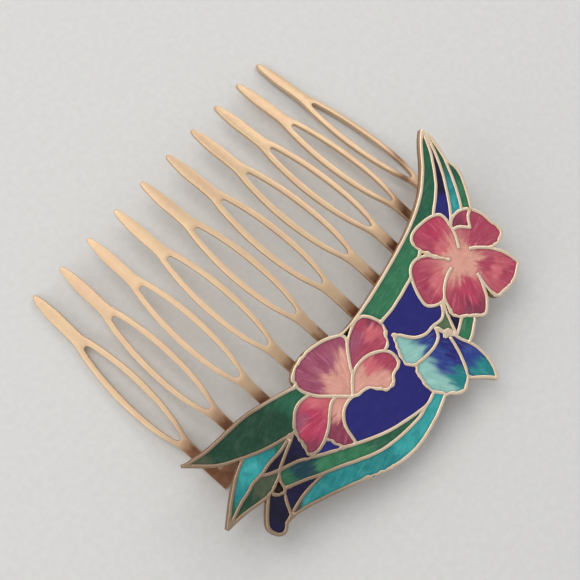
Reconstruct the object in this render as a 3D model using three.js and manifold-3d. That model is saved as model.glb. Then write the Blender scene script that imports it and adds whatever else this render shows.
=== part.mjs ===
// Enamelled hair comb: a stamped, barrel-curved blank with ten eyed tines, and a flat cloisonne
// ornament soldered onto its spine. Millimetres, +Z up, the comb lying as it rests on a table.
//
// The comb's own frame, inside the tilted group: x runs along the row of tines, y runs from the
// ornament to the tips, and z = 0 is the blank's top surface on its crown, at the tines' roots.
import * as THREE from 'three';
import { mergeVertices } from 'three/addons/utils/BufferGeometryUtils.js';
import Module from 'manifold-3d';

const wasm = await Module();
wasm.setup();

// Comb blank
const TINES = 10;
const PITCH = 7.5;
const BARREL_RADIUS = 98;
const SHEET = 0.9;
const SPINE_LOW = -6.9;
const SPINE_HIGH = -3.7;
const DROP_SLOPE = 0.193;
const DROP_BLEND = 8;

// Ornament, from its back up to the tops of the wires
const PLATE_BACK = 0.4;
const PLATE_THICK = 0.7;
const WIRE_TOP = 2.2;
const GLAZE_TOP = 2.05;
const WIRE_WIDTH = 0.62;
const GAP = 0.25;

// Solder joints between the plate's back and the spine, to both sides of the middle
const SOLDER_X = 12;
const SOLDER_LENGTH = 7;
const SOLDER_WIDTH = 2.6;

// How the comb rests, in degrees: on the spine's two ends and the two outer tines, near their tips
const REST_TILT = 7.75;

// How curves become straight steps
const CURVE_STEPS = 10;
const CHORD = 0.06;
const STRIP_OVERRUN = 0.3;
const SHARPEST_CORNER = 0.6;
const WELD_DISTANCE = 1e-4;

const PLATE_FRONT = PLATE_BACK + PLATE_THICK;
const INLAY_BASE = PLATE_FRONT + GAP;
const SPINE_MIDDLE = (SPINE_LOW + SPINE_HIGH) / 2;

// ---------------------------------------------------------------- colours and finishes
const FINISH = {
  gilt: { color: 0xd9b98a, roughness: 0.38, metalness: 1 },
  copper: { color: 0xb98a5c, roughness: 0.5, metalness: 1 },
  solder: { color: 0xb0a48f, roughness: 0.55, metalness: 1 },
  deep_green: { color: 0x234a35, roughness: 0.2, metalness: 0 },
  green: { color: 0x3f7a58, roughness: 0.2, metalness: 0 },
  teal: { color: 0x3a9a98, roughness: 0.2, metalness: 0 },
  navy: { color: 0x2e2f66, roughness: 0.18, metalness: 0 },
  pink: { color: 0xb85a6b, roughness: 0.2, metalness: 0 },
  aqua: { color: 0x7fb3ae, roughness: 0.2, metalness: 0 },
};

// ---------------------------------------------------------------- the wires, seen from above
// Each run is the middle line of a wire strip, through its [x, y] points as one smooth curve.
const RIM = {
  left_leaf_top: [
    [-36.9, 2.3], [-34.9, 1.6], [-32.7, 1], [-30, 0.65], [-27.3, 0.35],
    [-24.9, 0.1], [-22.4, -0.45], [-20, -1.2], [-17, -2.2], [-13.9, -3.4],
  ],
  petal_1_crown: [
    [-13.9, -3.4], [-13.5, -2.2], [-12.7, -1.6], [-11.6, -1.1], [-10.1, -0.95], [-8.5, -0.85],
    [-7, -1.05], [-5.5, -1.5], [-4, -2.05], [-2.7, -2.8], [-1.8, -3.4],
  ],
  right_leaf_top: [
    [-1.8, -3.4], [0, -3.45], [2, -3.5], [4, -3.45], [7, -3.05], [10, -2.6], [13, -2.1],
    [16, -1.6], [19, -0.9], [22, -0.2], [24, 0.5], [26, 1.25], [28, 2.2], [30, 3.5],
    [31.5, 4.6], [33, 6], [34.5, 7.4], [36, 8.8], [37.3, 9.7],
  ],
  right_tip: [
    [37.3, 9.7], [37.5, 8], [37.2, 6.2], [36.8, 4.6], [36.35, 3.1],
  ],
  fan_edge: [
    [36.35, 3.1], [36.5, 1.6], [36.6, 0.3], [36.3, -0.8], [35.7, -2.1], [34.9, -3.4],
    [34, -4.8], [33.2, -5.9], [32.7, -6.6],
  ],
  petal_10_edge: [
    [32.7, -6.6], [33.3, -8], [33.6, -9.4], [33.6, -10.9], [33.8, -12], [33.9, -12.9],
    [33.3, -13.8], [32.4, -14.2], [31.3, -14.3], [30.3, -14], [29.5, -13.6],
  ],
  petal_9_side: [
    [29.5, -13.6], [30.4, -15], [31, -16.4], [31.4, -17.9], [31.6, -19.6],
  ],
  petal_9_end: [
    [31.6, -19.6], [30.4, -20.1], [29.2, -20.7], [28.1, -21.1], [26.7, -20.9], [25.2, -20.8],
    [24, -20.6], [23.6, -19.9], [23.7, -18.6], [23.9, -17.2], [24.1, -16],
  ],
  petal_8_end: [
    [24.1, -16], [23.6, -17], [23.1, -17.9], [22.4, -19], [21.6, -19.8], [20.6, -20.6],
    [19.7, -20.9], [18.9, -20.5], [18.1, -19.7],
  ],
  small_leaf_low: [
    [18.1, -19.7], [17.2, -20.3], [16.2, -20.9], [15, -21.5], [13.6, -22],
  ],
  bell_right_side: [
    [13.6, -22], [13.9, -23.3], [14, -25], [13.8, -26.8], [13.2, -28.6], [12.3, -30],
  ],
  bell_right_low: [
    [12.3, -30], [11.5, -28.9], [10.6, -27.9], [9.6, -26.9], [8.6, -25.8],
  ],
  bell_middle_low: [
    [8.6, -25.8], [7.6, -26.4], [6.5, -26.7], [5.6, -26.5], [4.9, -25.8], [4.2, -25.1], [3.3, -24.5],
  ],
  teal_band_low: [
    [3.3, -24.5], [1, -25.3], [-1, -25.8], [-4, -26.3], [-7, -26.5], [-10, -26.1], [-13, -25.2],
    [-16, -23.7], [-19, -22.2], [-22, -20.8], [-25, -19.4], [-28, -18.1], [-30.5, -17.3], [-32.3, -17.2],
  ],
  bud_edge: [
    [-32.3, -17.2], [-33, -17.7], [-33.7, -17.9], [-34.5, -17.6], [-35, -16.7], [-35.1, -15.7],
    [-34.6, -14.8], [-33.6, -13.9], [-32.3, -12.8], [-31, -11.9],
  ],
  crossing_leaf_low: [
    [-31, -11.9], [-33, -11.4], [-35, -10.9], [-37, -10.5], [-39.6, -10.2],
  ],
  teal_leaf_top: [
    [-39.6, -10.2], [-37.5, -8.8], [-35.5, -7.4], [-33.5, -6.2], [-31.5, -5.2], [-29.2, -4.4],
  ],
  left_leaf_low: [
    [-29.2, -4.4], [-31.3, -3.1], [-33.2, -1.8], [-35, 0.3], [-36.9, 2.3],
  ],
};

const INNER = {
  left_leaf_inner: [
    [-29.2, -4.4], [-27, -5.6], [-24.5, -6.7], [-22.3, -7.5], [-20, -8.2],
  ],
  teal_leaf_low: [
    [-39.3, -10.2], [-37, -9.6], [-34.5, -9], [-32.6, -8.8], [-31.2, -8.5], [-29.2, -8.6],
    [-27, -8.4], [-24.5, -8.5], [-22.5, -8.3], [-20.9, -7.9],
  ],
  crossing_edge: [
    [-29.4, -8.6], [-28.6, -9.3], [-27.6, -9.9], [-26.6, -10.5],
  ],
  bud_stem: [
    [-20, -8.2], [-22, -8.8], [-24, -9.5], [-25.5, -10.1], [-26.6, -10.5], [-27.5, -11.3],
    [-28, -12.2], [-28.3, -13.1], [-29.1, -14], [-29.9, -15.2], [-30.8, -16.9],
  ],
  crossing_leaf_end: [
    [-31, -11.9], [-29.8, -11.7], [-28.5, -11.4], [-27.3, -11],
  ],
  bare_cell_edge: [
    [-30.2, -11.8], [-30.2, -12.5], [-29.8, -13], [-29.2, -13.3], [-28.7, -13.6],
  ],
  green_band_top: [
    [-26.6, -10.5], [-24.8, -11.2], [-23, -12.1], [-21, -13.5], [-19, -14.8], [-17, -16],
    [-15.5, -16.9], [-14.1, -17.8], [-12, -19], [-10, -20.1], [-8, -21], [-6, -21.7],
    [-4, -22.3], [-2, -22.8], [0, -23.1], [2.3, -22.6],
  ],
  green_band_low: [
    [-28.3, -13.1], [-26.5, -14.1], [-24.5, -15.1], [-22.4, -16.4], [-20, -17.6], [-17, -19.3],
    [-14, -21], [-12, -21.9], [-10, -22.5], [-7, -23.1], [-4, -23.4], [-2, -23.4], [-0.3, -23.1],
  ],
  teal_band_top: [
    [-32.3, -17.2], [-30.8, -16.9], [-29, -16.6], [-27.3, -16.4], [-25.5, -16.4], [-23.8, -16.6],
    [-21.9, -16.7],
  ],
  petal_1_left: [
    [-13.9, -3.4], [-13.9, -4.6], [-13.4, -6], [-12.6, -7.3], [-11.4, -8.7], [-10.2, -10],
    [-9.2, -11.1], [-8.4, -12],
  ],
  petal_1_right: [
    [-1.8, -3.4], [-1.6, -4.2], [-1.9, -5.1], [-3, -6.1], [-4.1, -7.4], [-5, -8.6], [-5.6, -9.6],
    [-6.6, -10.4], [-7.6, -11.2], [-8.4, -12],
  ],
  petal_2: [
    [-1.9, -5.1], [-0.6, -4.6], [0.8, -4], [2.2, -3.8], [3.4, -4.2], [4.2, -5.2], [4.7, -6.5],
    [4.9, -7.7], [4.5, -8.8], [3.7, -9.5], [3.4, -10.3], [2.7, -10.9], [1.5, -11.1],
  ],
  petal_3: [
    [-5.6, -9.6], [-4.5, -9.2], [-3, -9.1], [-1.5, -9.3], [0, -10], [1.2, -10.8], [2, -11.8],
    [2.2, -13], [1.9, -14.2], [1.1, -14.8], [0.1, -14.9], [-0.7, -15.2], [-1.4, -15.9],
    [-2.3, -16.1], [-3.2, -15.9], [-4, -15.1], [-4.8, -13.9], [-5.6, -13], [-6.6, -12.7],
    [-7.6, -12.5], [-8.4, -12],
  ],
  petal_4_side: [
    [-17.1, -13], [-16.9, -14], [-16.6, -15], [-16, -16.5],
  ],
  petal_4_inner: [
    [-14.1, -17.7], [-13.8, -16.4], [-13.4, -14.9], [-12.7, -13.6], [-11.7, -12.6], [-10.6, -12.1],
    [-9.5, -11.9], [-8.4, -12],
  ],
  petal_5: [
    [-13.4, -6], [-14.4, -5.7], [-15.6, -5.6], [-16.9, -5.8], [-18.2, -6.6], [-19.3, -7.7],
    [-20, -8.8], [-20.4, -10], [-20.7, -11.2], [-21.1, -12.4], [-20.7, -13.1], [-19.6, -13.4],
    [-18.2, -13.3], [-16.8, -12.9], [-15.4, -12.2], [-14, -11.3], [-12.8, -10.4], [-11.7, -9.8],
    [-10.4, -9.8],
  ],
  right_leaf_low: [
    [4.9, -7.3], [6.5, -7.4], [8.5, -7.3], [10.5, -7.1], [12.5, -6.7], [14.9, -6.3],
  ],
  right_leaf_rib: [
    [26.6, -2.1], [28, -1.2], [29.5, -0.2], [31, 0.9], [32.3, 2.2], [33.5, 3.5], [34.7, 5],
    [35.7, 6.5], [36.5, 7.9], [37.3, 9.7],
  ],
  teal_strip_top: [
    [28.2, -5.2], [29.3, -4.2], [30.4, -3], [31.5, -1.6], [32.6, -0.2], [33.7, 1.3],
    [34.7, 2.9], [35.6, 4.6], [36.3, 6.1], [36.9, 7.6], [37.3, 9.7],
  ],
  teal_strip_low: [
    [31.4, -5.3], [32.4, -3.9], [33.4, -2.4], [34.3, -0.9], [35.1, 0.6], [35.8, 2], [36.35, 3.1],
  ],
  petal_6: [
    [22.6, -9.5], [21.8, -8.5], [21, -7.1], [20.3, -5.5], [19.9, -4], [19.9, -2.8], [20.3, -1.9],
    [21.3, -1.35], [22.5, -1.3], [24, -1.4], [25.4, -1.7], [26.6, -2.1], [27.5, -2.8],
    [27.8, -3.6], [27.7, -5], [27.3, -6.4], [26.7, -7.7], [26, -8.8], [25.5, -9.5],
  ],
  petal_7: [
    [21.2, -7.5], [20.4, -6.4], [19.4, -5.4], [18.2, -4.9], [17, -4.9], [15.9, -5.4], [15, -6.3],
    [14.2, -7.7], [13.6, -9.1], [13.2, -10.4], [13.1, -11.6], [13.7, -12.5], [14.8, -13.2],
    [16, -13.5], [16.7, -13.2], [17.8, -12.2], [19, -11.5], [20.3, -11], [21.6, -10.8],
  ],
  petal_8_side: [
    [16.5, -13.4], [16, -14.4], [15.5, -15.5], [15.3, -16.4], [15.7, -17.3], [16.4, -18.1],
    [17.3, -18.8], [18.1, -19.7],
  ],
  petal_8_inner: [
    [24.1, -16], [24.3, -15.2],
  ],
  petal_9_inner: [
    [29.5, -13.6], [28.7, -12.7], [27.8, -11.8], [26.9, -11.1],
  ],
  petal_10_crown: [
    [32.7, -6.6], [31.9, -5.7], [30.8, -5.1], [29.6, -4.9], [28.5, -5.1], [27.5, -5.8],
  ],
  fold_left: [
    [27.2, -6.4], [28.2, -6.8], [29, -7.6], [29.9, -8.6],
  ],
  fold_right: [
    [29.9, -8.6], [30.6, -7.7], [31.4, -6.9], [32.6, -6.4],
  ],
  petal_tie: [
    [19.9, -4.5], [19.4, -4.7], [18.6, -5],
  ],
  bell_left_side: [
    [4.8, -10.5], [4.3, -11.5], [3.7, -12.4], [3.2, -13.4], [2.8, -14.4], [2.5, -15.5],
    [2.9, -16.3], [3.7, -17],
  ],
  bell_top: [
    [4.8, -10.5], [5.5, -11.3], [6.2, -12.5], [7, -13.6], [8, -14.4], [9.2, -14.9], [10.4, -15],
    [11.4, -15], [12.4, -15.3], [13.5, -15.3], [14.5, -14.6], [15.4, -13.5],
  ],
  bell_left_low: [
    [3.7, -17], [5, -17.3], [6.5, -17.5], [8, -17.6], [9.3, -17.4], [10.3, -16.9], [11, -16],
    [11.3, -15],
  ],
  bell_middle_left: [
    [3.7, -17], [3, -17.9], [2.6, -18.9], [2.3, -20], [2.1, -21.3], [2.3, -22.6], [2.9, -23.6],
    [3.3, -24.5],
  ],
  bell_middle_right: [
    [8.6, -25.8], [9.5, -24.5], [10.3, -23], [11, -21.4], [11.5, -19.8], [11.9, -18.4],
  ],
  bell_right_top: [
    [13.6, -22], [13, -20.5], [12.7, -19],
  ],
  bell_stem: [
    [13, -19.3], [13.6, -17.9], [14.2, -16.6], [14.8, -15.2], [15.4, -14.1], [16.2, -13.5],
  ],
  small_leaf_top: [
    [12.9, -19.4], [14, -19], [15, -18.5], [16.1, -18],
  ],
};

// The bell's cap is a small flat scrap of metal among the wires.
const BELL_CAP = [
  [11.1, -15.1], [11.8, -15.9], [12, -16.9], [12.8, -17.2], [13.1, -18], [13.2, -19.2],
  [12.5, -19.2], [11.8, -18.6], [11, -18.2], [10.8, -17.7], [11.3, -17.2], [11, -16.3],
];

// Every glazed cell: its name, a point inside it, and its finish.
const CELLS = [
  ['left_leaf', [-27, -3], 'deep_green'],
  ['teal_leaf', [-29, -6.8], 'teal'],
  ['crossing_leaf', [-33, -10.1], 'deep_green'],
  ['ground_sliver', [-25.9, -9.25], 'navy'],
  ['ground_left', [-22.3, -10.9], 'navy'],
  ['ground_triangle', [-27, -15.3], 'navy'],
  ['bud', [-32.5, -15.3], 'navy'],
  ['green_band', [-16, -18.2], 'green'],
  ['teal_band', [-14, -23], 'teal'],
  ['ground_notch', [-18.1, -14.3], 'navy'],
  ['ground_lower', [-6, -18.5], 'navy'],
  ['ground_upper', [9, -11], 'navy'],
  ['petal_1', [-8, -5], 'pink'],
  ['petal_2', [1, -7], 'pink'],
  ['petal_3', [-2, -12.5], 'pink'],
  ['petal_4', [-14.6, -14], 'pink'],
  ['petal_5', [-16, -10], 'pink'],
  ['right_leaf', [10, -5], 'green'],
  ['right_leaf_tip', [30, 1.8], 'green'],
  ['ground_fan', [29.6, -2.4], 'navy'],
  ['teal_strip', [32.9, -1.6], 'teal'],
  ['green_strip', [34.6, -2.4], 'green'],
  ['flower_2', [24, -11.5], 'pink'],
  ['petal_fold', [29.8, -6.6], 'pink'],
  ['bell_left', [5, -14.5], 'aqua'],
  ['bell_middle', [6, -21], 'aqua'],
  ['bell_right', [12.2, -25], 'aqua'],
  ['bell_calyx', [13, -16.2], 'green'],
  ['ground_stem', [14.6, -17.8], 'navy'],
  ['small_leaf', [15.4, -20.1], 'green'],
];

// ---------------------------------------------------------------- plane curves
// The distance from a point to the straight line through a and b.
function offLine(point, a, b) {
  const along = b.clone().sub(a);
  const across = point.clone().sub(a).cross(along);
  return along.length() ? Math.abs(across) / along.length() : point.distanceTo(a);
}

// Keeps only the points that the line needs to stay within CHORD of its full shape.
function thinned(points) {
  const [first, last] = [points[0], points.at(-1)];
  let worst = 0;
  let worstAt = 0;
  points.forEach((point, i) => {
    const off = offLine(point, first, last);
    if (off > worst) {
      worst = off;
      worstAt = i;
    }
  });
  if (worst < CHORD) return [first, last];
  return [...thinned(points.slice(0, worstAt + 1)).slice(0, -1), ...thinned(points.slice(worstAt))];
}

// One smooth line through the given [x, y] points.
function smoothLine(points) {
  const curve = new THREE.SplineCurve(points.map(([x, y]) => new THREE.Vector2(x, y)));
  return thinned(curve.getPoints((points.length - 1) * CURVE_STEPS));
}

// The outline of a strip of the given width that follows a line and runs a little past its ends.
// Corners sharper than the cosine SHARPEST_CORNER are cut short.
function stripOutline(line, width) {
  const points = line.map((point) => point.clone());
  const overrun = STRIP_OVERRUN * width;
  const start = points[0].clone().sub(points[1]).setLength(overrun);
  const end = points.at(-1).clone().sub(points.at(-2)).setLength(overrun);
  points[0].add(start);
  points.at(-1).add(end);
  const sides = points.map((point, i) => {
    const before = points[Math.max(i - 1, 0)];
    const after = points[Math.min(i + 1, points.length - 1)];
    const into = point.clone().sub(before).normalize();
    const out = after.clone().sub(point).normalize();
    const heading = into.clone().add(out).normalize();
    const reach = width / 2 / Math.max(heading.dot(i ? into : out), SHARPEST_CORNER);
    const side = new THREE.Vector2(-heading.y, heading.x).multiplyScalar(reach);
    return [point.clone().add(side), point.clone().sub(side)];
  });
  return [...sides.map(([left]) => left), ...sides.map(([, right]) => right).reverse()];
}

// ---------------------------------------------------------------- solids
function solidOf(geometry) {
  const bare = geometry.clone();
  bare.deleteAttribute('normal');
  bare.deleteAttribute('uv');
  const merged = mergeVertices(bare, WELD_DISTANCE);
  return new wasm.Manifold(new wasm.Mesh({
    numProp: 3,
    vertProperties: merged.attributes.position.array,
    triVerts: new Uint32Array(merged.index.array),
  }));
}

function geometryOf(solid) {
  const { vertProperties, triVerts } = solid.getMesh();
  const geometry = new THREE.BufferGeometry();
  geometry.setAttribute('position', new THREE.BufferAttribute(vertProperties, 3));
  geometry.setIndex(new THREE.BufferAttribute(triVerts, 1));
  return geometry;
}

// A flat outline raised from one height to another.
function slab(outline, from, to) {
  const shape = new THREE.Shape(outline);
  const raised = new THREE.ExtrudeGeometry(shape, { depth: to - from, bevelEnabled: false });
  return solidOf(raised.translate(0, 0, from));
}

function joined(solids) {
  return solids.reduce((all, solid) => all.add(solid));
}

// ---------------------------------------------------------------- comb blank
// How far the blank's top surface has dropped towards the barrel's axis at a given y.
function drop(y) {
  if (y <= 0) return 0;
  return y < DROP_BLEND ? (DROP_SLOPE * y * y) / (2 * DROP_BLEND) : DROP_SLOPE * (y - DROP_BLEND / 2);
}

// The height of the blank's crown line at a given x.
function rolledHeight(x) {
  return Math.sqrt(BARREL_RADIUS ** 2 - x ** 2) - BARREL_RADIUS;
}

// Rolls a flat piece, z = 0 on its top side, onto the barrel.
function rolled(geometry) {
  const position = geometry.getAttribute('position');
  for (let i = 0; i < position.count; i += 1) {
    const angle = position.getX(i) / BARREL_RADIUS;
    const radius = BARREL_RADIUS - drop(position.getY(i)) + position.getZ(i);
    position.setX(i, radius * Math.sin(angle));
    position.setZ(i, radius * Math.cos(angle) - BARREL_RADIUS);
  }
  return geometry;
}

// Half widths of a tine as [y, half width]: its outer edge, and the eye between its two legs.
const TINE_EDGE = [
  [-4.5, 1.03], [1.5, 1.03], [3, 1.08], [5, 1.4], [8, 2.15], [12, 2.7], [16.5, 2.9], [20, 2.78],
  [23, 2.45], [26, 2], [28, 1.55], [29.6, 1.2], [32, 1.15], [35, 1.17], [37, 1.02],
  [38.6, 0.82], [39.5, 0.66], [40.1, 0.44], [40.4, 0.12],
];
const EYE_EDGE = [
  [4.75, 0.12], [4.95, 0.42], [5.6, 0.72], [7, 1.03], [9, 1.38], [12, 1.68], [16, 1.77],
  [20, 1.63], [23, 1.34], [25, 1.04], [26.6, 0.72], [27.35, 0.5], [27.65, 0.14],
];

// A closed outline, the same on both sides of x = middle, from its [y, half width] points.
function mirroredOutline(edge, middle) {
  const line = smoothLine(edge);
  const right = line.map(({ x: y, y: half }) => new THREE.Vector2(middle + half, y));
  const left = line.map(({ x: y, y: half }) => new THREE.Vector2(middle - half, y)).reverse();
  return [...right, ...left];
}

function tineSolid(middle) {
  const shape = new THREE.Shape(mirroredOutline(TINE_EDGE, middle));
  shape.holes.push(new THREE.Path(mirroredOutline(EYE_EDGE, middle)));
  const flat = new THREE.ExtrudeGeometry(shape, { depth: SHEET, bevelEnabled: false });
  return solidOf(rolled(flat.translate(0, 0, -SHEET)));
}

function spineSolid() {
  const length = (TINES - 1) * PITCH + 2 * TINE_EDGE[0][1];
  const flat = new THREE.BoxGeometry(length, SPINE_HIGH - SPINE_LOW, SHEET, 2 * TINES, 1, 1);
  return solidOf(rolled(flat.translate(0, SPINE_MIDDLE, -SHEET / 2)));
}

function combBlank() {
  const middles = Array.from({ length: TINES }, (_, i) => (i - (TINES - 1) / 2) * PITCH);
  return joined([spineSolid(), ...middles.map(tineSolid)]);
}

// ---------------------------------------------------------------- ornament
const rimLines = Object.values(RIM).map(smoothLine);
const allLines = [...rimLines, ...Object.values(INNER).map(smoothLine)];
const rimOutline = rimLines.flatMap((line) => line.slice(0, -1));
const capOutline = BELL_CAP.map(([x, y]) => new THREE.Vector2(x, y));

// The lines as upright strips of one width.
function strips(lines, width, from, to) {
  return joined(lines.map((line) => slab(stripOutline(line, width), from, to)));
}

function basePlate() {
  const inside = slab(rimOutline, PLATE_BACK, PLATE_FRONT);
  return inside.add(strips(rimLines, WIRE_WIDTH, PLATE_BACK, PLATE_FRONT));
}

function cloisonWires() {
  return strips(allLines, WIRE_WIDTH, INLAY_BASE, WIRE_TOP).add(slab(capOutline, INLAY_BASE, WIRE_TOP));
}

// Everything inside the rim that the wires and their clearance leave free, cell by cell.
function glazedCells() {
  const below = INLAY_BASE - GAP;
  const above = GLAZE_TOP + GAP;
  const inside = slab(rimOutline, INLAY_BASE, GLAZE_TOP);
  const clearance = strips(allLines, WIRE_WIDTH + 2 * GAP, below, above);
  return inside.subtract(clearance).subtract(slab(capOutline, below, above)).decompose();
}

// The cell that a thin upright pin through a point meets.
function cellAt([x, y], cells) {
  const pin = solidOf(new THREE.BoxGeometry(CHORD, CHORD, GLAZE_TOP).translate(x, y, GLAZE_TOP));
  return cells.find((cell) => cell.intersect(pin).volume() > 0);
}

// ---------------------------------------------------------------- solder
// A flat pad between the plate's back and the spine, clear of both.
function solderPad(x) {
  const spineTop = rolledHeight(Math.abs(x) - SOLDER_LENGTH / 2);
  const from = spineTop + GAP;
  const to = PLATE_BACK - GAP;
  const pad = new THREE.BoxGeometry(SOLDER_LENGTH, SOLDER_WIDTH, to - from);
  return solidOf(pad.translate(x, SPINE_MIDDLE, (from + to) / 2));
}

// ---------------------------------------------------------------- assembly
const comb = new THREE.Group();
const lying = new THREE.Group();
comb.add(lying);

function place(name, solid, finish) {
  const mesh = new THREE.Mesh(geometryOf(solid), new THREE.MeshStandardMaterial(FINISH[finish]));
  mesh.name = name;
  lying.add(mesh);
}

place('comb_blank', combBlank(), 'gilt');
place('base_plate', basePlate(), 'copper');
place('cloison_wires', cloisonWires(), 'gilt');
const cells = glazedCells();
CELLS.forEach(([name, inside, finish]) => place(`enamel_${name}`, cellAt(inside, cells), finish));
place('solder_pad_left', solderPad(-SOLDER_X), 'solder');
place('solder_pad_right', solderPad(SOLDER_X), 'solder');

// Lay the comb down, then move it so that its box stands on z = 0 with its middle on the z axis.
lying.rotation.x = THREE.MathUtils.degToRad(REST_TILT);
comb.updateMatrixWorld(true);
const box = new THREE.Box3().setFromObject(comb, true);
const middle = box.getCenter(new THREE.Vector3());
lying.position.set(-middle.x, -middle.y, -box.min.z);

export default comb;
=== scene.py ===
import math
import bpy
import numpy as np
from mathutils import Matrix, Vector, kdtree, noise
from mathutils.geometry import delaunay_2d_cdt


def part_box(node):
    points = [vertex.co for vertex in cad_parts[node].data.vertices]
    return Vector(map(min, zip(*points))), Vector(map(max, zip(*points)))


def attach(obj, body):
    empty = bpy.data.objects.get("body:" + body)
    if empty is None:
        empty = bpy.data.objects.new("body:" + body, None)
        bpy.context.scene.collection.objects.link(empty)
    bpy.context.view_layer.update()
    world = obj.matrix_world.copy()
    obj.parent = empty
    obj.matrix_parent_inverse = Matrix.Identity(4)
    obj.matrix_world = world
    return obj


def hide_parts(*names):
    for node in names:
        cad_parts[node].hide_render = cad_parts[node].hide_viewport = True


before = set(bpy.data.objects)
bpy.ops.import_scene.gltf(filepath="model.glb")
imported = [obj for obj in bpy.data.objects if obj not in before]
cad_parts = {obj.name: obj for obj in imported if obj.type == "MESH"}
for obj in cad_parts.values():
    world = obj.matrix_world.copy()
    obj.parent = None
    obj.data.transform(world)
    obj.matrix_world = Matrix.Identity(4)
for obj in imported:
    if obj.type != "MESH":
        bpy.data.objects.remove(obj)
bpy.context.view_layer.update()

# Shapes are worked out in millimetres in the comb's own frame: x along the row of tines, y towards
# the tips, z up from the blank's crown at the roots. Pieces are placed in metres in the row frame.
MM = 0.001
TILT = math.radians(7.75)

# Comb blank
TINES = 10
PITCH = 7.5
BARREL_RADIUS = 98
SHEET = 0.9
SPINE_LOW = -6.9
SPINE_HIGH = -3.7
DROP_SLOPE = 0.193
DROP_BLEND = 8
CROWN = 0.06
BLANK_ROUNDING = 0.16

# Ornament
PLATE_BACK = 0.4
PLATE_FRONT = 1.1
WIRE_TOP = 2.2
GLAZE_TOP = 2.05
SUNK = 0.06
WIRE_ROUNDING = 0.24
WIRE_SHOULDER = 0.13
PLATE_ROUNDING = 0.12
PLATE_FALL = 0.3

# Steps along the edges of the wires and the plate, and the angle from which an edge is sharp
WIRE_STEP = 0.24
PLATE_STEP = 0.6
SHARP = math.radians(40)

# noise_vector starts from the clock unless it is given a seed
NOISE_SEED = 1
noise.seed_set(NOISE_SEED)

# Flower centres, from which the petals' brush strokes spread
FLOWER_1 = (-8.0, -11.6)
FLOWER_2 = (24.0, -10.9)


# ---------------------------------------------------------------- the comb's frame
def world_points(node):
    """A CAD node's corners in the row frame, in millimetres."""
    return np.array([v.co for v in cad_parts[node].data.vertices], float) / MM


AXES = np.array([
    (1, 0, 0),
    (0, math.cos(TILT), math.sin(TILT)),
    (0, -math.sin(TILT), math.cos(TILT)),
])


def comb_origin():
    """Where the comb frame's origin lies, from the blank's spine and the plate's back."""
    blank = world_points("comb_blank") @ AXES.T
    plate = world_points("base_plate") @ AXES.T
    middle = (blank[:, 0].min() + blank[:, 0].max()) / 2
    return np.array((middle, blank[:, 1].min() - SPINE_LOW, plate[:, 2].min() - PLATE_BACK))


ORIGIN = comb_origin()


def to_comb(points):
    """Row-frame millimetres to comb-frame millimetres."""
    return points @ AXES.T - ORIGIN


def to_row(points):
    """Comb-frame millimetres to row-frame metres."""
    return (np.asarray(points, float) + ORIGIN) @ AXES * MM


# ---------------------------------------------------------------- flat outlines
CORNER = math.radians(38)
SHORTEST = 0.07
SPECK = 0.05
TOP_DEPTH = 0.02


def top_loops(node):
    """The edges of a flat node's top face as closed loops of [x, y], with the face on their left."""
    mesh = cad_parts[node].data
    mesh.calc_loop_triangles()
    corners = to_comb(world_points(node))
    merged, index = np.unique(corners.round(3), axis=0, return_inverse=True)
    index = index.reshape(-1)
    triangles = index[np.array([t.vertices for t in mesh.loop_triangles])]
    top = merged[:, 2] > merged[:, 2].max() - TOP_DEPTH
    triangles = triangles[top[triangles].all(axis=1)]
    sides = np.vstack([triangles[:, (0, 1)], triangles[:, (1, 2)], triangles[:, (2, 0)]])
    known = {tuple(side) for side in sides.tolist()}
    following = {}
    for start, end in sorted(known):
        if (end, start) not in known:
            following.setdefault(start, []).append(end)
    loops = []
    while following:
        start = next(iter(following))
        loop = [start]
        while True:
            choices = following[loop[-1]]
            ahead = choices.pop()
            if not choices:
                del following[loop[-1]]
            if ahead == start:
                break
            loop.append(ahead)
        loops.append(merged[loop, :2])
    return [loop for loop in loops if abs(area(loop)) > SPECK]


def area(loop):
    """The signed area of a closed loop."""
    x, y = loop.T
    return 0.5 * float(np.sum(x * np.roll(y, -1) - np.roll(x, -1) * y))


def unit(vectors):
    """Each row scaled to length one."""
    return vectors / np.maximum(np.linalg.norm(vectors, axis=-1, keepdims=True), 1e-9)


def cleaned(loop):
    """A loop without points that lie almost on the one before them."""
    kept = [loop[0]]
    for point in loop[1:]:
        if np.linalg.norm(point - kept[-1]) > SHORTEST:
            kept.append(point)
    if np.linalg.norm(kept[0] - kept[-1]) < SHORTEST:
        kept.pop()
    return np.array(kept)


def smoothed(loop, step):
    """A loop with its gentle bends rounded and its sharp corners kept, in steps of about step."""
    loop = cleaned(loop)
    ahead = unit(np.roll(loop, -1, 0) - loop)
    behind = np.roll(ahead, 1, 0)
    turn = np.arccos(np.clip((ahead * behind).sum(1), -1, 1))
    heading = unit(ahead + behind)
    points = []
    for i in range(len(loop)):
        j = (i + 1) % len(loop)
        span = np.linalg.norm(loop[j] - loop[i])
        leave = ahead[i] if turn[i] > CORNER else heading[i]
        arrive = ahead[i] if turn[j] > CORNER else heading[j]
        for k in range(max(1, math.ceil(span / step))):
            t = k / max(1, math.ceil(span / step))
            points.append(
                (2 * t**3 - 3 * t**2 + 1) * loop[i] + (t**3 - 2 * t**2 + t) * span * leave
                + (3 * t**2 - 2 * t**3) * loop[j] + (t**3 - t**2) * span * arrive
            )
    return np.array(points)


def inward(loop, distance):
    """A loop moved to its left by a distance, and outwards by a negative one."""
    ahead = unit(np.roll(loop, -1, 0) - loop)
    behind = np.roll(ahead, 1, 0)
    heading = unit(ahead + behind)
    reach = distance / np.maximum((heading * ahead).sum(1, keepdims=True), 0.5)
    return loop + reach * np.stack([-heading[:, 1], heading[:, 0]], 1)


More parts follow.
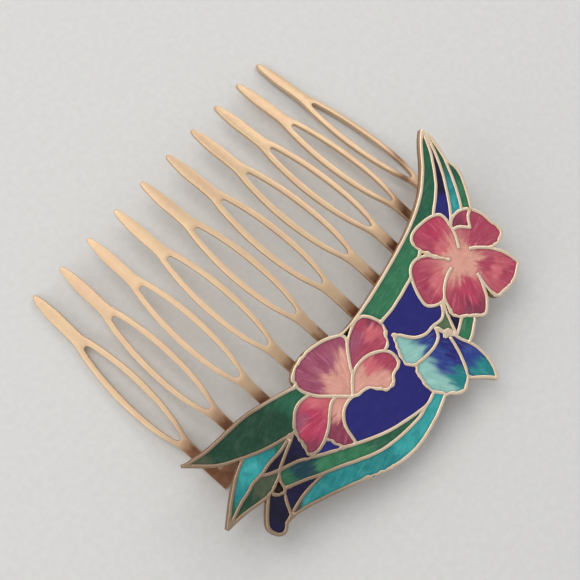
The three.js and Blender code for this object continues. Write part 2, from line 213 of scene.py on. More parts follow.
def inside(points, loops):
    """Which points lie inside the loops, by counting the edges that a line to the right crosses."""
    start = np.vstack(loops)
    end = np.vstack([np.roll(loop, -1, 0) for loop in loops])
    result = np.zeros(len(points), bool)
    for first in range(0, len(points), 1000):
        x, y = points[first:first + 1000].T[:, :, None]
        crosses = (start[:, 1] > y) != (end[:, 1] > y)
        slope = (end[:, 0] - start[:, 0]) / np.where(end[:, 1] == start[:, 1], 1, end[:, 1] - start[:, 1])
        right = x < start[:, 0] + (y - start[:, 1]) * slope
        result[first:first + 1000] = (crosses & right).sum(1) % 2 == 1
    return result


class Edge:
    """Distances from the edge of an outline."""

    def __init__(self, loops):
        self.points = np.vstack(loops)
        self.ahead = np.vstack([np.roll(loop, -1, 0) for loop in loops])
        self.behind = np.vstack([np.roll(loop, 1, 0) for loop in loops])
        self.tree = kdtree.KDTree(len(self.points))
        for i, (x, y) in enumerate(self.points):
            self.tree.insert((x, y, 0), i)
        self.tree.balance()

    def distance(self, points):
        nearest = np.array([self.tree.find((x, y, 0))[1] for x, y in points])
        here = self.points[nearest]
        best = np.linalg.norm(points - here, axis=1)
        for other in (self.ahead[nearest], self.behind[nearest]):
            side = other - here
            along = ((points - here) * side).sum(1) / np.maximum((side * side).sum(1), 1e-12)
            foot = here + np.clip(along, 0, 1)[:, None] * side
            best = np.minimum(best, np.linalg.norm(points - foot, axis=1))
        return best


# Stretches where the wires are lumpy, as (x, y) of both ends
LUMPY_STRETCHES = [
    ((-13.7, -3), (-9, -1)), ((-19.2, -7.6), (-20.4, -10)), ((-20.4, -10), (-21, -13)),
    ((-16.9, -14), (-16, -16.5)),
    ((4.9, -7.7), (3.4, -10.3)), ((4.8, -10.5), (2.5, -15.5)), ((3.7, -17), (2.1, -21.3)),
    ((21.8, -8.5), (20, -4)), ((15.5, -15.5), (18.1, -19.7)), ((-4.8, -13.9), (-2.3, -16.1)),
    ((-19, -22.2), (-13, -25.2)), ((-30, -11.8), (-28.3, -13.6)), ((28.1, -21.1), (24, -20.6)),
    ((8.6, -25.8), (3.3, -24.5)), ((33.8, -12.4), (31.3, -14.3)),
]
LUMP_SIZE = 0.34
LUMPS_PER_MM = 1.25
LUMP_FADE = 1.3
WOBBLE_SIZE = 0.05
WOBBLES_PER_MM = 0.6


def lumpy(loop):
    """A loop of wire edge, pushed about where the wires are lumpy and a very little elsewhere."""
    near = np.full(len(loop), np.inf)
    for start, end in np.array(LUMPY_STRETCHES):
        along = np.clip(((loop - start) @ (end - start)) / ((end - start) @ (end - start)), 0, 1)
        near = np.minimum(near, np.linalg.norm(loop - start - along[:, None] * (end - start), axis=1))
    share = np.clip(1 - near / LUMP_FADE, 0, 1) ** 0.5
    fine = [noise.noise_vector(Vector((x, y, 0)) * LUMPS_PER_MM) for x, y in loop]
    slow = [noise.noise_vector(Vector((x, y, 9)) * WOBBLES_PER_MM) for x, y in loop]
    return loop + LUMP_SIZE * share[:, None] * np.array(fine)[:, :2] + WOBBLE_SIZE * np.array(slow)[:, :2]


# ---------------------------------------------------------------- solids over flat outlines
HEXAGON_ROW = 0.866


def hexagonal(low, high, spacing):
    """Points of a hexagonal grid over a box."""
    rows = []
    y = low[1]
    for row in range(1 + int((high[1] - low[1]) / (spacing * HEXAGON_ROW))):
        x = np.arange(low[0] + (row % 2) * spacing / 2, high[0], spacing)
        rows.append(np.stack([x, np.full(len(x), y)], 1))
        y += spacing * HEXAGON_ROW
    return np.vstack(rows)


def triangulated(loops, rings, spacing):
    """Fills loops with triangles that follow rings inside their edges. Gives points, triangles and
    each point's distance from the edge."""
    edge = Edge(loops)
    points = []
    chains = []
    for loop in loops:
        first = len(points)
        points.extend(loop.tolist())
        chains += [(first + i, first + (i + 1) % len(loop)) for i in range(len(loop))]
        for ring in rings:
            moved = inward(loop, ring)
            good = np.abs(edge.distance(moved) - ring) < 0.12 * ring + 0.004
            numbers = {}
            for i in np.flatnonzero(good):
                numbers[int(i)] = len(points)
                points.append(moved[i].tolist())
            for i, number in numbers.items():
                after = (i + 1) % len(loop)
                if after in numbers:
                    chains.append((number, numbers[after]))
    grid = hexagonal(edge.points.min(0), edge.points.max(0), spacing)
    grid = grid[inside(grid, loops)]
    if len(grid):
        clear = (rings[-1] if rings else 0) + 0.55 * spacing
        points.extend(grid[edge.distance(grid) > clear].tolist())
    result = delaunay_2d_cdt([Vector(p) for p in points], chains, [], 0, 1e-5, False)
    flat = np.array([tuple(v) for v in result[0]])
    triangles = np.array(result[2])
    triangles = triangles[inside(flat[triangles].mean(1), loops)]
    used, index = np.unique(triangles, return_inverse=True)
    flat = flat[used]
    triangles = index.reshape(-1, 3)
    a, b, c = (flat[triangles[:, i]] for i in range(3))
    turned = np.cross(b - a, c - a) < 0
    triangles[turned] = triangles[turned][:, ::-1]
    return flat, triangles, edge.distance(flat)


def raised(loops, rings, spacing, top, bottom):
    """A closed solid over flat loops. top and bottom give heights from points and their distance
    from the edge. Returns comb-frame points, triangles and walls, and per point the distance."""
    flat, triangles, reach = triangulated(loops, rings, spacing)
    upper = np.column_stack([flat, top(flat, reach)])
    lower = np.column_stack([flat, bottom(flat, reach)])
    count = len(flat)
    sides = np.vstack([triangles[:, (0, 1)], triangles[:, (1, 2)], triangles[:, (2, 0)]])
    known = {tuple(side) for side in sides.tolist()}
    walls = [(b, a, a + count, b + count) for a, b in sorted(known) if (b, a) not in known]
    faces = triangles.tolist() + (triangles[:, ::-1] + count).tolist() + walls
    return np.vstack([upper, lower]), faces, np.concatenate([reach, reach])


def rounded(reach, radius):
    """How far a rounded edge lies below its flat face, at a distance from the edge."""
    inset = np.clip(radius - reach, 0, radius)
    return radius - np.sqrt(np.maximum(radius**2 - inset**2, 0))


def ring_steps(radius):
    """Where a rounded edge of a given radius needs its rings."""
    return [radius * (1 - math.cos(math.radians(angle))) for angle in (30, 60, 90)]


def piece(name, points, faces, material, stands_for, attributes=None):
    """Makes a mesh object from comb-frame points and puts it in the part's one body."""
    mesh = bpy.data.meshes.new(name)
    mesh.from_pydata(to_row(points).tolist(), [], [list(map(int, face)) for face in faces])
    mesh.validate()
    mesh.shade_smooth()
    mesh.set_sharp_from_angle(angle=SHARP)
    for key, (kind, values) in (attributes or {}).items():
        layer = mesh.attributes.new(key, kind, "POINT")
        field = {"FLOAT": "value", "FLOAT_VECTOR": "vector", "FLOAT_COLOR": "color"}[kind]
        layer.data.foreach_set(field, np.asarray(values, np.float32).ravel())
    mesh.materials.append(material)
    made = bpy.data.objects.new(name, mesh)
    bpy.context.scene.collection.objects.link(made)
    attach(made, "root")
    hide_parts(*stands_for)


# ---------------------------------------------------------------- material nodes
class Tree:
    """A short way to write a material's nodes."""

    def __init__(self, name):
        self.material = bpy.data.materials.new(name)
        self.material.use_nodes = True
        self.nodes = self.material.node_tree.nodes
        self.links = self.material.node_tree.links
        self.shader = self.nodes["Principled BSDF"]

    def link(self, value, socket):
        if isinstance(value, bpy.types.NodeSocket):
            self.links.new(value, socket)
        else:
            socket.default_value = value

    def add(self, kind, inputs=None, **settings):
        made = self.nodes.new("ShaderNode" + kind)
        for key, value in settings.items():
            setattr(made, key, value)
        for key, value in (inputs or {}).items():
            self.link(value, made.inputs[key])
        return made

    def shade(self, **inputs):
        for key, value in inputs.items():
            self.link(value, self.shader.inputs[key.replace("_", " ").title().replace("Ior", "IOR")])

    def attribute(self, name, output="Fac"):
        return self.add("Attribute", attribute_name=name).outputs[output]

    def math(self, operation, a, b=0.0):
        return self.add("Math", {0: a, 1: b}, operation=operation).outputs[0]

    def scaled(self, vector, scale):
        return self.add("VectorMath", {0: vector, 1: scale}, operation="MULTIPLY").outputs[0]

    def noise(self, vector, scale, detail=3.0, roughness=0.55):
        inputs = {"Vector": vector, "Scale": scale, "Detail": detail, "Roughness": roughness}
        return self.add("TexNoise", inputs).outputs["Fac"]

    def ramp(self, value, low, high, to_low=0.0, to_high=1.0):
        inputs = {"Value": value, "From Min": low, "From Max": high, "To Min": to_low, "To Max": to_high}
        return self.add("MapRange", inputs).outputs["Result"]

    def mix(self, factor, a, b, blend="MIX"):
        made = self.add("Mix", data_type="RGBA", blend_type=blend)
        for value, index in ((factor, 0), (a, 6), (b, 7)):
            self.link(value, made.inputs[index])
        return made.outputs[2]

    def bump(self, height, distance, strength=1.0):
        inputs = {"Height": height, "Distance": distance, "Strength": strength}
        return self.add("Bump", inputs).outputs["Normal"]

    def millimetres(self):
        """Positions on the object at rest, in millimetres."""
        place = self.add("TexCoord").outputs["Object"]
        return self.scaled(place, (1000.0, 1000.0, 1000.0))


def rgb(red, green, blue):
    """An sRGB colour of 0 to 255 as a linear one with alpha."""
    return tuple(((c / 255) / 12.92 if c < 10.3 else ((c / 255 + 0.055) / 1.055) ** 2.4)
                 for c in (red, green, blue)) + (1.0,)


# ---------------------------------------------------------------- metals
def gilt_sheet():
    """Satin gilt sheet: brushed along the tines, with a painted highlight on its edges, and painted brown
    shadow and dark reflection near the ornament and towards its left end.
    """
    tree = Tree("gilt_sheet")
    flat = tree.attribute("flat", "Vector")
    reach = tree.attribute("reach")
    place = tree.millimetres()
    brushed = tree.noise(tree.scaled(flat, (7.0, 0.35, 1.0)), 1.0, 4.0)
    cloudy = tree.noise(place, 0.25, 3.0)
    grain = tree.noise(place, 9.0, 2.0)
    tone = tree.mix(tree.ramp(cloudy, 0.35, 0.7), rgb(214, 186, 150), rgb(212, 178, 148))
    tone = tree.mix(tree.ramp(brushed, 0.45, 0.75, 0.0, 0.22), tone, rgb(206, 172, 124))
    # Painted shadow of the ornament on the stems, and painted dark reflection towards the left end, darken
    # the sheet to brown
    painted_shade = tree.attribute("painted_shade")
    painted_shade_patches = tree.math("MULTIPLY", painted_shade, tree.ramp(cloudy, 0.25, 0.6, 0.6, 1.0))
    tone = tree.mix(painted_shade_patches, tone, rgb(128, 84, 62))
    # Painted highlight: the sheet is lighter along its rounded edges
    painted_edge_highlight = tree.ramp(reach, 0.0, 0.2, 0.4, 0.0)
    tone = tree.mix(painted_edge_highlight, tone, rgb(238, 214, 182))
    rough = tree.math("ADD", tree.ramp(brushed, 0.3, 0.8, 0.42, 0.52), tree.ramp(grain, 0.3, 0.8, 0.0, 0.05))
    height = tree.math("ADD", tree.math("MULTIPLY", brushed, 0.5), tree.math("MULTIPLY", grain, 0.3))
    tree.shade(base_color=tone, metallic=1.0, roughness=rough, normal=tree.bump(height, 0.00002, 0.4))
    return tree.material


def gilt_wire():
    """Polished wire tops, with painted shade in the corners beside the enamel and towards the ornament's left
    end.
    """
    tree = Tree("gilt_wire")
    reach = tree.attribute("reach")
    place = tree.millimetres()
    cloudy = tree.noise(place, 0.35, 3.0)
    grain = tree.noise(place, 7.0, 3.0)
    tone = tree.mix(tree.ramp(cloudy, 0.35, 0.7), rgb(255, 232, 204), rgb(250, 222, 188))
    # Painted shade: the wires turn duller and browner towards the ornament's left end
    painted_wire_shade = tree.attribute("painted_shade")
    painted_wire_shade = tree.math("MULTIPLY", painted_wire_shade, tree.ramp(grain, 0.2, 0.6, 0.75, 1.0))
    tone = tree.mix(painted_wire_shade, tone, rgb(138, 110, 88))
    # Painted shade: brown in the corners beside the enamel
    painted_edge_shade = tree.ramp(tree.math("ADD", reach, tree.ramp(grain, 0.2, 0.8, -0.04, 0.04)), 0.0, 0.1, 0.5, 0.0)
    tone = tree.mix(painted_edge_shade, tone, rgb(120, 88, 56))
    rough = tree.ramp(grain, 0.3, 0.75, 0.34, 0.48)
    tree.shade(base_color=tone, metallic=1.0, roughness=rough, normal=tree.bump(grain, 0.00003, 0.5))
    return tree.material


def copper_plate():
    """Dull gilt copper, blotched by the kiln and black with fire-scale where it lies bare in a cell."""
    tree = Tree("copper_plate")
    place = tree.millimetres()
    cloudy = tree.noise(place, 0.22, 4.0)
    grain = tree.noise(place, 5.0, 4.0)
    tone = tree.mix(tree.ramp(cloudy, 0.35, 0.65), rgb(178, 130, 88), rgb(140, 98, 70))
    tone = tree.mix(tree.ramp(grain, 0.55, 0.75, 0.0, 0.5), tone, rgb(96, 70, 54))
    scale = tree.mix(tree.ramp(grain, 0.4, 0.65), rgb(30, 24, 22), rgb(60, 44, 34))
    fired = tree.attribute("fired")
    tone = tree.mix(fired, tone, scale)
    rough = tree.math("ADD", tree.ramp(grain, 0.3, 0.7, 0.38, 0.55), tree.math("MULTIPLY", fired, 0.15))
    metal = tree.math("SUBTRACT", 1.0, tree.math("MULTIPLY", fired, 0.9))
    tree.shade(base_color=tone, metallic=metal, roughness=rough, normal=tree.bump(grain, 0.00005, 0.6))
    return tree.material


def solder_metal():
    """Frosted soft solder with a faint skin of flux."""
    tree = Tree("solder_metal")
    place = tree.millimetres()
    cloudy = tree.noise(place, 1.2, 3.0)
    grain = tree.noise(place, 8.0, 4.0)
    tone = tree.mix(tree.ramp(cloudy, 0.35, 0.65), rgb(206, 196, 176), rgb(166, 146, 118))
    rough = tree.ramp(grain, 0.3, 0.7, 0.3, 0.5)
    tree.shade(base_color=tone, metallic=1.0, roughness=rough, normal=tree.bump(grain, 0.00006, 0.6))
    return tree.material


# ---------------------------------------------------------------- enamel
def enamel(name, strokes, mottle, specks):
    """Glossy vitreous enamel. Its colour is laid on the mesh as 'glaze', and brush strokes run along
    the mesh's 'stroke' directions. The arguments say how strong the strokes, mottling and specks are."""
    tree = Tree(name)
    glaze = tree.attribute("glaze", "Color")
    reach = tree.attribute("reach")
    stroke = tree.attribute("stroke", "Vector")
    place = tree.millimetres()
    fine = tree.noise(tree.scaled(stroke, (3.2, 0.32, 1.0)), 1.0, 4.0, 0.6)
    broad = tree.noise(tree.scaled(stroke, (1.1, 0.22, 1.0)), 1.0, 2.0, 0.5)
    cloudy = tree.noise(place, 0.55, 4.0, 0.6)
    grain = tree.noise(place, 5.5, 3.0, 0.6)
    light = tree.mix(0.7, glaze, glaze, "SCREEN")
    light = tree.mix(0.12, light, rgb(244, 232, 222))
    dark = tree.mix(1.0, glaze, rgb(182, 172, 182), "MULTIPLY")
    streak = tree.math("ADD", tree.math("MULTIPLY", fine, 0.65), tree.math("MULTIPLY", broad, 0.35))
    tone = tree.mix(tree.ramp(streak, 0.52, 0.68, 0.0, strokes), glaze, light)
    tone = tree.mix(tree.ramp(streak, 0.46, 0.34, 0.0, 0.5 * strokes), tone, dark)
    tone = tree.mix(tree.ramp(cloudy, 0.5, 0.75, 0.0, 0.5 * mottle), tone, light)
    tone = tree.mix(tree.ramp(cloudy, 0.48, 0.28, 0.0, mottle), tone, dark)
    tone = tree.mix(tree.ramp(grain, 0.62, 0.72, 0.0, specks), tone, light)
    shade = tree.ramp(tree.math("ADD", reach, tree.ramp(grain, 0.2, 0.8, -0.06, 0.06)), 0.02, 0.45, 0.55, 0.0)
    tone = tree.mix(shade, tone, dark)
    rough = tree.ramp(cloudy, 0.3, 0.8, 0.16, 0.26)
    height = tree.math("ADD", tree.math("MULTIPLY", cloudy, 0.8), tree.math("MULTIPLY", grain, 0.12))
    tree.shade(base_color=tone, roughness=rough, normal=tree.bump(height, 0.00008, 0.3))
    tree.shader.inputs["Specular IOR Level"].default_value = 0.3
    tree.shader.inputs["Coat Weight"].default_value = 0.12
    tree.shader.inputs["Coat Roughness"].default_value = 0.08
    tree.shader.inputs["IOR"].default_value = 1.5
    return tree.material


# The enameller's colours
PALETTE = {
    "forest": rgb(24, 66, 44),
    "olive": rgb(74, 84, 62),
    "leaf": rgb(36, 96, 68),
    "bright_leaf": rgb(50, 118, 80),
    "moss": rgb(86, 110, 74),
    "sea": rgb(30, 132, 132),
    "bright_sea": rgb(50, 162, 160),
    "petrol": rgb(16, 60, 68),
    "ink": rgb(6, 4, 34),
    "violet_ink": rgb(14, 8, 50),
    "navy": rgb(34, 32, 112),
    "blue": rgb(40, 62, 138),
    "aqua": rgb(146, 198, 186),
    "mauve": rgb(160, 76, 102),
    "rose": rgb(176, 66, 90),
    "crimson": rgb(188, 60, 90),
    "maroon": rgb(138, 54, 78),
    "peach": rgb(226, 160, 142),
    "coral": rgb(212, 104, 112),
}

# For each cell: its finish, the way its strokes run (an angle in degrees, or the flower centre that
# they spread from), and where its colours were laid, as (colour, x, y).
CELLS = {
    "left_leaf": ("deep_green", 24, [
        ("olive", -34.8, 0.9), ("forest", -31.5, -0.6), ("forest", -26, -3),
        ("forest", -21.5, -4.5), ("leaf", -16.4, -4.2), ("leaf", -14.6, -5.4),
    ]),
    "teal_leaf": ("teal", 40, [
        ("leaf", -36.8, -9.4), ("sea", -33.6, -8), ("bright_sea", -30, -6.4), ("sea", -26, -7.2),
        ("leaf", -22.6, -8),
    ]),
    "crossing_leaf": ("deep_green", 14, [
        ("olive", -38, -10.3), ("forest", -35, -10), ("olive", -30, -10),
    ]),
    "ground_sliver": ("navy", 0, [("ink", -26, -9)]),
    "ground_left": ("navy", 0, [("violet_ink", -22, -10), ("ink", -24, -11)]),
    "ground_triangle": ("navy", 0, [("violet_ink", -27, -15), ("violet_ink", -24, -16)]),
    "bud": ("navy", 60, [("ink", -32, -15), ("violet_ink", -33.5, -16.5)]),
    "green_band": ("green", -24, [
        ("leaf", -27.6, -12.6), ("petrol", -24.3, -13.6), ("petrol", -23, -14.6),
        ("bright_leaf", -20.4, -16), ("bright_leaf", -15, -18.6), ("leaf", -10, -21.2),
        ("leaf", -5, -22.8), ("olive", 0, -23),
    ]),
    "teal_band": ("teal", 10, [
        ("olive", -31, -17), ("sea", -26, -17.8), ("sea", -20, -20), ("sea", -14, -22.6),
        ("bright_sea", -8, -24.8), ("bright_sea", 0, -24.4),
    ]),
    "ground_notch": ("navy", 0, [("navy", -18, -14.4)]),
    "ground_lower": ("navy", 0, [
        ("navy", -8, -17), ("navy", -2, -19), ("navy", 2, -12), ("navy", 9, -10),
    ]),
    "petal_1": ("pink", FLOWER_1, [
        ("mauve", -12, -3.2), ("mauve", -7, -2), ("mauve", -3, -3.6), ("mauve", -12, -5.6),
        ("mauve", -7, -4.8), ("peach", -9, -8), ("peach", -6.6, -8.4), ("peach", -4.6, -7),
    ]),
    "petal_2": ("pink", (-4, -8), [
        ("rose", 2, -5), ("coral", 2.6, -7), ("mauve", -0.5, -5.6), ("rose", 0.6, -9),
        ("maroon", 4, -6),
    ]),
    "petal_3": ("pink", FLOWER_1, [
        ("peach", -7, -11), ("peach", -4.5, -11), ("coral", -2, -10.8), ("rose", 0.4, -11.4),
        ("rose", 0.6, -13.4), ("peach", -2.6, -14.6), ("peach", -4.6, -12.6),
    ]),
    "petal_4": ("pink", FLOWER_1, [
        ("peach", -10.4, -11.2), ("peach", -12, -12), ("maroon", -14.2, -13.6),
        ("maroon", -15, -15),
    ]),
    "petal_5": ("pink", FLOWER_1, [
        ("coral", -13.4, -7.6), ("crimson", -16, -9), ("crimson", -18, -10),
        ("maroon", -20, -12.4), ("mauve", -18.6, -7.6),
    ]),
    "right_leaf": ("green", 8, [
        ("leaf", 0, -4.8), ("bright_leaf", 8, -5), ("bright_leaf", 17, -3.4), ("leaf", 24, -0.6),
    ]),
    "ground_fan": ("navy", 40, [("navy", 29.6, -2.4), ("violet_ink", 33, 1)]),
    "teal_strip": ("teal", 52, [("bright_sea", 31, -3.6), ("sea", 33.4, -0.4), ("leaf", 35.4, 3)]),
    "green_strip": ("green", 60, [("bright_leaf", 33.4, -4.6), ("leaf", 35.4, 0.6)]),
    "flower_2": ("pink", FLOWER_2, [
        ("peach", 24, -11), ("peach", 25.6, -11.6), ("peach", 23.4, -9), ("peach", 22, -11.8),
        ("peach", 25, -13), ("coral", 23, -7.4), ("crimson", 24, -4), ("rose", 21.4, -5),
        ("coral", 17.8, -10.4), ("rose", 16.2, -8), ("rose", 14.6, -11.4), ("rose", 27, -15.6),
        ("coral", 27.6, -17.4), ("rose", 28.6, -19.4), ("crimson", 21, -15.4),
        ("maroon", 18.6, -18.6), ("rose", 18, -15.6), ("rose", 29, -11.2), ("rose", 31.8, -10.4),
    ]),
    "petal_fold": ("pink", FLOWER_2, [("maroon", 29.6, -6.4), ("rose", 31.4, -6)]),
    "bell_left": ("aqua", -20, [
        ("aqua", 4, -12.6), ("aqua", 4.6, -15), ("blue", 8.6, -15.6), ("navy", 10.4, -15.6),
    ]),
    "bell_middle": ("aqua", -60, [
        ("aqua", 4, -18.4), ("aqua", 3.4, -21), ("aqua", 4.4, -23.6), ("blue", 8.2, -18.8),
        ("blue", 7.6, -21), ("navy", 9.6, -21), ("sea", 7, -24.6), ("navy", 10.6, -18),
    ]),
    "bell_right": ("aqua", -80, [("navy", 12.2, -21), ("blue", 12.2, -23.6), ("sea", 12.2, -27)]),
    "bell_calyx": ("green", 0, [("moss", 13, -16.4)]),
    "ground_stem": ("navy", 0, [("violet_ink", 14.6, -17.8)]),
    "small_leaf": ("green", 20, [("bright_leaf", 15.4, -20.1)]),
}

# How strong the strokes, mottling and specks are in each finish
FINISHES = {
    "deep_green": (0.25, 0.45, 0.6),
    "green": (0.5, 0.4, 0.25),
    "teal": (0.4, 0.55, 0.3),
    "navy": (0.06, 0.15, 0.05),
    "pink": (0.85, 0.3, 0.1),
    "aqua": (0.6, 0.4, 0.15),
}


def laid_colours(flat, spots, way):
    """The glaze's colour at each point: each laid colour runs, in streaks along the brush strokes, to
    its border with the next."""
    if isinstance(way, tuple):
        along = unit(flat - np.array(way))
    else:
        along = np.tile((math.cos(math.radians(way)), math.sin(math.radians(way))), (len(flat), 1))
    strokes = stroke_directions(flat, way)
    streak = np.array([
        noise.noise(Vector((across * 1.6, length * 0.25, 0.5))) for across, length, _ in strokes])
    ragged = np.array([noise.noise_vector(Vector((x * 0.7, y * 0.7, 0.5))) for x, y in flat])[:, :2]
    moved = flat + 1.5 * streak[:, None] * along + 0.35 * ragged
    places = np.array([(x, y) for _, x, y in spots])
    colours = np.array([PALETTE[name] for name, _, _ in spots])
    away = np.linalg.norm(moved[:, None] - places[None], axis=2)
    share = 1 / (0.3 + away) ** 5
    return (share / share.sum(1, keepdims=True)) @ colours


def stroke_directions(flat, way):
    """Coordinates across and along the brush strokes."""
    if isinstance(way, tuple):
        away = flat - np.array(way)
        radius = np.linalg.norm(away, axis=1)
        turn = np.arctan2(away[:, 1], away[:, 0])
        return np.column_stack([turn * 9, radius, np.zeros(len(flat))])
    angle = math.radians(way)
    along = flat @ np.array((math.cos(angle), math.sin(angle)))
    across = flat @ np.array((-math.sin(angle), math.cos(angle)))
    return np.column_stack([across, along, np.zeros(len(flat))])


def glaze_height(flat, reach):
    """The fused glass: drawn up at the wires, slightly hollow and uneven between them."""
    swell = np.array([noise.noise(Vector((x * 0.35, y * 0.35, 0))) for x, y in flat])
    return GLAZE_TOP + 0.05 * np.exp(-reach / 0.12) - 0.04 * (1 - np.exp(-reach / 0.6)) + 0.02 * swell


GLAZE_RINGS = [0.12, 0.32]
GLAZE_SPACING = 0.36
SEARCH_SPACING = 0.2


def build_enamel(wire_loops):
    """One piece of enamel for each closed cell between the wires. Two CAD nodes share the right leaf's
    cell, and two the middle ground's."""
    materials = {key: enamel(f"enamel_{key}", *strength) for key, strength in FINISHES.items()}
    holes = [loop for loop in wire_loops if area(loop) < 0]
    glazed = {}
    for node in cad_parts:
        if node.startswith("enamel_"):
            top = max(top_loops(node), key=lambda loop: abs(area(loop)))
            fill = hexagonal(top.min(0), top.max(0), SEARCH_SPACING)
            seed = fill[inside(fill, [top])][:1]
            number = next(i for i, loop in enumerate(holes) if inside(seed, [loop])[0])
            glazed.setdefault(number, []).append(node)
    for number, nodes in glazed.items():
        name = min(nodes, key=len).removeprefix("enamel_")
        finish, way, spots = CELLS[name]
        loop = inward(holes[number][::-1], -SUNK)
        points, faces, reach = raised(
            [loop], GLAZE_RINGS, GLAZE_SPACING, glaze_height,
            lambda flat, _: np.full(len(flat), PLATE_FRONT - SUNK))
        flat = points[:, :2]
        attributes = {
            "glaze": ("FLOAT_COLOR", laid_colours(flat, spots, way)),
            "stroke": ("FLOAT_VECTOR", stroke_directions(flat, way)),
            "reach": ("FLOAT", reach),
        }
        piece(f"glaze_{name}", points, faces, materials[finish], nodes, attributes)


# ---------------------------------------------------------------- wires and plate
def left_end_shade(flat):
    """Painted shade: the wires are duller towards the ornament's left end."""
    return np.clip((-flat[:, 0] - 10) / 13, 0, 1) * 0.85


def build_wires(loops):
    def top(flat, reach):
        return WIRE_TOP - WIRE_SHOULDER * rounded(reach, WIRE_ROUNDING) / WIRE_ROUNDING

    points, faces, reach = raised(
        loops, ring_steps(WIRE_ROUNDING), 1.0, top, lambda flat, _: np.full(len(flat), PLATE_FRONT - SUNK))
    # The wires carry painted shade towards the ornament's left end
    attributes = {"reach": ("FLOAT", reach), "painted_shade": ("FLOAT", left_end_shade(points))}
    piece("wires", points, faces, gilt_wire(), ["cloison_wires"], attributes)


def build_plate():
    loops = [smoothed(loop, PLATE_STEP) for loop in top_loops("base_plate")]
    points, faces, reach = raised(
        loops, ring_steps(PLATE_ROUNDING), 2.5,
        lambda flat, reach: PLATE_FRONT - PLATE_FALL * rounded(reach, PLATE_ROUNDING),
        lambda flat, reach: PLATE_BACK + rounded(reach, PLATE_ROUNDING))
    fired = (points[:, 2] > PLATE_FRONT - 0.2) & (reach > PLATE_ROUNDING / 2)
    attributes = {"fired": ("FLOAT", fired)}
    piece("plate", points, faces, copper_plate(), ["base_plate"], attributes)


# ---------------------------------------------------------------- comb blank
# Half widths of a tine as (y, half width): its outer edge, and the eye between its two legs.
TINE_EDGE = [
    (SPINE_HIGH, 1.03), (1.5, 1.03), (3, 1.08), (5, 1.4), (8, 2.15), (12, 2.7), (16.5, 2.9), (20, 2.78),
    (23, 2.45), (26, 2), (28, 1.55), (29.6, 1.2), (32, 1.15), (35, 1.17), (37, 1.02),
    (38.6, 0.82), (39.5, 0.66), (40.1, 0.44), (40.4, 0.12),
]
EYE_EDGE = [
    (4.75, 0.12), (4.95, 0.42), (5.6, 0.72), (7, 1.03), (9, 1.38), (12, 1.68), (16, 1.77), (20, 1.63),
    (23, 1.34), (25, 1.04), (26.6, 0.72), (27.35, 0.5), (27.65, 0.14),
]


CURVE_STEPS = 6
TINE_WIDEST = max(width for _, width in TINE_EDGE)


def curve_through(points):
    """A smooth line through points, with the first and last repeated as its ends."""
    knots = np.array([points[0], *points, points[-1]], float)
    line = []
    for i in range(1, len(knots) - 2):
        for t in np.linspace(0, 1, CURVE_STEPS, endpoint=False):
            a, b, c, d = knots[i - 1:i + 3]
            line.append(0.5 * (2 * b + (c - a) * t + (2 * a - 5 * b + 4 * c - d) * t**2
                               + (3 * b - a - 3 * c + d) * t**3))
    return np.array([*line, knots[-1]])


def blank_loops():
    """The flat blank's outline and its eyes."""
    edge = curve_through(TINE_EDGE)
    eye = curve_through(EYE_EDGE)
    half = (TINES - 1) / 2 * PITCH + TINE_EDGE[0][1]
    outline = [(x, SPINE_LOW) for x in np.linspace(-half, half, 90)]
    loops = []
    for i in reversed(range(TINES)):
        middle = (i - (TINES - 1) / 2) * PITCH
        outline += [(middle + w, y) for y, w in edge] + [(middle - w, y) for y, w in edge[::-1]]
        right = [(middle + w, y) for y, w in eye]
        loops.append(np.array(right + [(middle - w, y) for y, w in eye[::-1]])[::-1])
        if i:
            outline += [(x, SPINE_HIGH) for x in np.linspace(middle - 1.4, middle - PITCH + 1.4, 6)]
    return [np.array(outline), *loops]


def drop(y):
    """How far the blank's top has dropped towards the barrel's axis at y."""
    bent = DROP_SLOPE * y**2 / (2 * DROP_BLEND)
    return np.where(y <= 0, 0, np.where(y < DROP_BLEND, bent, DROP_SLOPE * (y - DROP_BLEND / 2)))


def rolled(points):
    """Rolls flat points, z = 0 on the top side, onto the barrel."""
    angle = points[:, 0] / BARREL_RADIUS
    radius = BARREL_RADIUS - drop(points[:, 1]) + points[:, 2]
    return np.column_stack([radius * np.sin(angle), points[:, 1], radius * np.cos(angle) - BARREL_RADIUS])


def build_blank():
    flat_points, faces, reach = raised(
        blank_loops(), ring_steps(BLANK_ROUNDING), 1.0,
        lambda flat, reach: -rounded(reach, BLANK_ROUNDING),
        lambda flat, reach: -SHEET + rounded(reach, BLANK_ROUNDING))
    x, y = flat_points[:, 0], flat_points[:, 1]
    beside = (x / PITCH + TINES / 2) % 1 - 0.5
    on_tines = np.clip((y - SPINE_HIGH) / 6, 0, 1)
    flat_points[:, 2] -= CROWN * on_tines * (beside * PITCH / TINE_WIDEST) ** 2
    plate_edge = Edge([smoothed(loop, PLATE_STEP) for loop in top_loops("base_plate")])
    # Painted shade: the stems darken near the plate's edge as a painted shadow, and towards the left end as a
    # painted dark reflection
    shelter = plate_edge.distance(flat_points[:, :2])
    shelter[y < 0] *= 0.5
    left = np.clip((14 - x) / 42, 0.1, 1)
    painted_shade = np.clip(np.exp(-(shelter / 1.3) ** 2) + 0.8 * left * np.exp(-shelter / 3.5), 0, 1)
    attributes = {
        "reach": ("FLOAT", reach),
        "painted_shade": ("FLOAT", painted_shade),
        "flat": ("FLOAT_VECTOR", np.column_stack([x, y, np.zeros(len(x))])),
    }
    piece("blank", rolled(flat_points), faces, gilt_sheet(), ["comb_blank"], attributes)


# ---------------------------------------------------------------- solder
SOLDER_HALF_LENGTH = 4.0
SOLDER_HALF_WIDTH = 1.45
SOLDER_SUNK = 0.04
LUMP_POINTS = 40


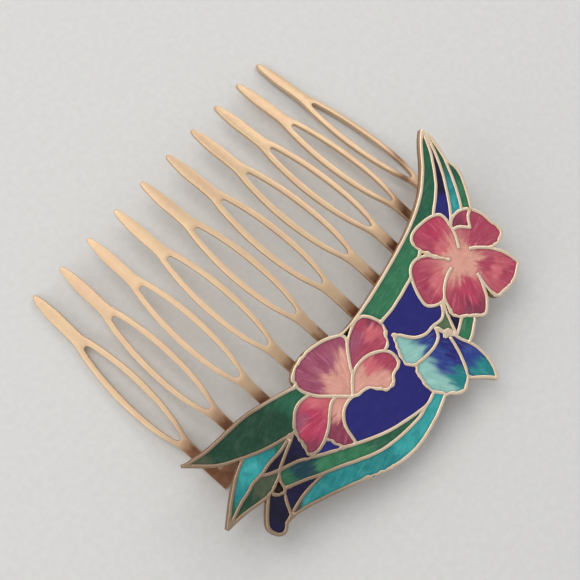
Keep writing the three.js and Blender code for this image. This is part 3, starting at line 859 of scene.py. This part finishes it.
def lump(middle, half_length, half_width, seed):
    """A wobbly oval outline."""
    turn = np.linspace(0, 2 * math.pi, LUMP_POINTS, endpoint=False)
    sway = [1 + 0.12 * noise.noise(Vector((2 * math.cos(a), 2 * math.sin(a), seed))) for a in turn]
    ring = np.column_stack([half_length * np.cos(turn), half_width * np.sin(turn)])
    return np.array(middle) + ring * np.array(sway)[:, None]


def build_solder():
    metal = solder_metal()
    spine_middle = (SPINE_LOW + SPINE_HIGH) / 2
    for side, node in ((-1, "solder_pad_left"), (1, "solder_pad_right")):
        low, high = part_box(node)
        middle = to_comb(np.array((low + high) / 2) / MM)[0]
        loop = lump((middle, spine_middle), SOLDER_HALF_LENGTH, SOLDER_HALF_WIDTH, side)

        def floor(flat, reach):
            return np.sqrt(BARREL_RADIUS**2 - flat[:, 0] ** 2) - BARREL_RADIUS - SOLDER_SUNK

        def ceiling(flat, reach):
            return np.full(len(flat), PLATE_BACK + SOLDER_SUNK)

        points, faces, _ = raised([loop], [0.2, 0.5], 0.8, ceiling, floor)
        piece(node.replace("pad", "joint"), points, faces, metal, [node])


wire_loops = [lumpy(smoothed(loop, WIRE_STEP)) for loop in top_loops("cloison_wires")]
build_blank()
build_plate()
build_wires(wire_loops)
build_enamel(wire_loops)
build_solder()


# ---------------------------------------------------------------- floor, light and camera
def build_floor():
    tree = Tree("floor")
    speckle = tree.noise(tree.millimetres(), 0.8, 4.0)
    tone = tree.mix(tree.ramp(speckle, 0.3, 0.7), rgb(216, 214, 210), rgb(222, 220, 216))
    tree.shade(base_color=tone, roughness=0.8)
    mesh = bpy.data.meshes.new("floor")
    mesh.from_pydata([(-1.5, -1.5, 0), (1.5, -1.5, 0), (1.5, 1.5, 0), (-1.5, 1.5, 0)], [], [(0, 1, 2, 3)])
    mesh.materials.append(tree.material)
    floor = bpy.data.objects.new("floor", mesh)
    bpy.context.scene.collection.objects.link(floor)


def softbox(name, direction, distance, size, power):
    """A square area light that looks at the comb from a direction."""
    light = bpy.data.lights.new(name, "AREA")
    light.size = size
    light.energy = power
    lamp = bpy.data.objects.new(name, light)
    away = Vector(direction).normalized()
    lamp.location = away * distance
    lamp.rotation_euler = away.to_track_quat("Z", "Y").to_euler()
    bpy.context.scene.collection.objects.link(lamp)


def build_light():
    world = bpy.data.worlds.new("studio")
    world.use_nodes = True
    world.node_tree.nodes["Background"].inputs["Color"].default_value = (0.9, 0.92, 0.95, 1)
    world.node_tree.nodes["Background"].inputs["Strength"].default_value = 0.6
    bpy.context.scene.world = world
    softbox("key", (-0.1, 0.55, 0.85), 0.8, 0.55, 2.0)
    softbox("left", (-1, 0.3, 0.6), 0.7, 0.35, 0.9)
    softbox("right", (1, 0.35, 0.7), 0.7, 0.35, 0.9)
    bpy.context.scene.view_settings.view_transform = "Standard"


CAMERA_AT = (-61, 25.75, 200.8)
CAMERA_VIEW = (0.28333, -0.08325, -0.9554)
CAMERA_DOWN = (-0.71849, -0.67828, -0.15397)
FOCAL_SHARE = 1200 / 580


def build_camera():
    camera = bpy.data.cameras.new("camera")
    camera.sensor_width = 36
    camera.lens = 36 * FOCAL_SHARE
    camera.clip_start = 0.01
    seen = bpy.data.objects.new("camera", camera)
    backward = -Vector(CAMERA_VIEW).normalized()
    right = (-Vector(CAMERA_DOWN)).cross(backward).normalized()
    turn = Matrix((right, backward.cross(right), backward)).transposed()
    tilt = Matrix.Rotation(TILT, 3, "X")
    seen.matrix_world = (tilt @ turn).to_4x4()
    seen.location = Vector(to_row(np.array(CAMERA_AT)))
    bpy.context.scene.collection.objects.link(seen)
    bpy.context.scene.camera = seen


build_floor()
build_light()
build_camera()

bpy.context.view_layer.update()
